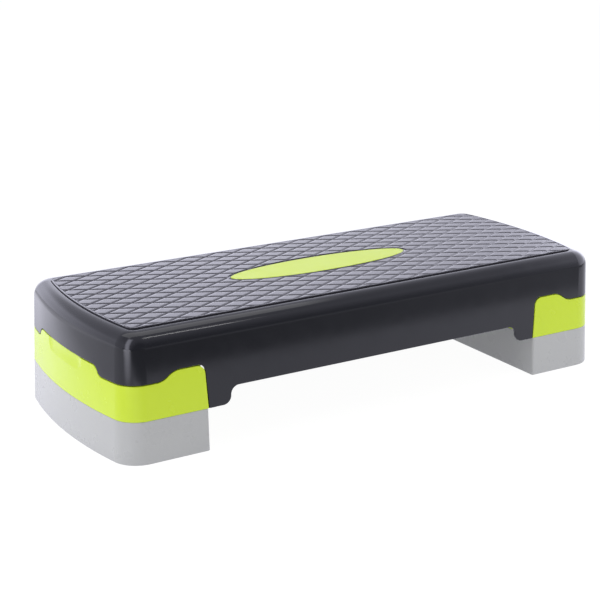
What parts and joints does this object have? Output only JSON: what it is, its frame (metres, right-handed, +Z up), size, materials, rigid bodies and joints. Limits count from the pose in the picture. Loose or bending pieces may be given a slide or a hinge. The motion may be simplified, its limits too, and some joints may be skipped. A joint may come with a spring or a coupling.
{
  "type": "aerobic step platform",
  "caption": "Low aerobic step platform: bowed-end deck with a lozenge tread inlay and oval badge, on stacked pull-off upper and lower risers with rubber feet.",
  "frame": {"origin": "on the floor, under the middle of the platform", "axes": "+X along the platform, +Y across it towards the back, +Z up"},
  "size_m": [0.69, 0.278, 0.148],
  "materials": {
    "deck_plastic": "satin",
    "tread_rubber": "matte",
    "badge_plastic": "gloss",
    "upper_riser_plastic": "satin",
    "lower_riser_plastic": "satin",
    "foot_rubber": "matte"
  },
  "bodies": {
    "deck": {"deck_shell": "deck_plastic", "tread_mat": "tread_rubber", "centre_badge": "badge_plastic", "deck_foot_plug_front_left": "foot_rubber", "deck_foot_plug_back_left": "foot_rubber", "deck_foot_plug_front_right": "foot_rubber", "deck_foot_plug_back_right": "foot_rubber"},
    "upper_riser_left": {"upper_riser_left": "upper_riser_plastic", "upper_riser_left_pad_front_inner": "foot_rubber", "upper_riser_left_pad_front_outer": "foot_rubber", "upper_riser_left_pad_back_inner": "foot_rubber", "upper_riser_left_pad_back_outer": "foot_rubber"},
    "upper_riser_right": {"upper_riser_right": "upper_riser_plastic", "upper_riser_right_pad_front_inner": "foot_rubber", "upper_riser_right_pad_front_outer": "foot_rubber", "upper_riser_right_pad_back_inner": "foot_rubber", "upper_riser_right_pad_back_outer": "foot_rubber"},
    "lower_riser_left": {"lower_riser_left": "lower_riser_plastic", "lower_riser_left_pad_front_inner": "foot_rubber", "lower_riser_left_pad_front_outer": "foot_rubber", "lower_riser_left_pad_back_inner": "foot_rubber", "lower_riser_left_pad_back_outer": "foot_rubber"},
    "lower_riser_right": {"lower_riser_right": "lower_riser_plastic", "lower_riser_right_pad_front_inner": "foot_rubber", "lower_riser_right_pad_front_outer": "foot_rubber", "lower_riser_right_pad_back_inner": "foot_rubber", "lower_riser_right_pad_back_outer": "foot_rubber"}
  },
  "joints": [
    {"name": "upper_riser_left_pull_off", "type": "slide", "parent": "deck", "child": "upper_riser_left", "axis": [0, 0, -1], "range_m": [0, 0.09]},
    {"name": "lower_riser_left_pull_off", "type": "slide", "parent": "upper_riser_left", "child": "lower_riser_left", "axis": [0, 0, -1], "range_m": [0, 0.02]},
    {"name": "upper_riser_right_pull_off", "type": "slide", "parent": "deck", "child": "upper_riser_right", "axis": [0, 0, -1], "range_m": [0, 0.09]},
    {"name": "lower_riser_right_pull_off", "type": "slide", "parent": "upper_riser_right", "child": "lower_riser_right", "axis": [0, 0, -1], "range_m": [0, 0.02]}
  ]
}
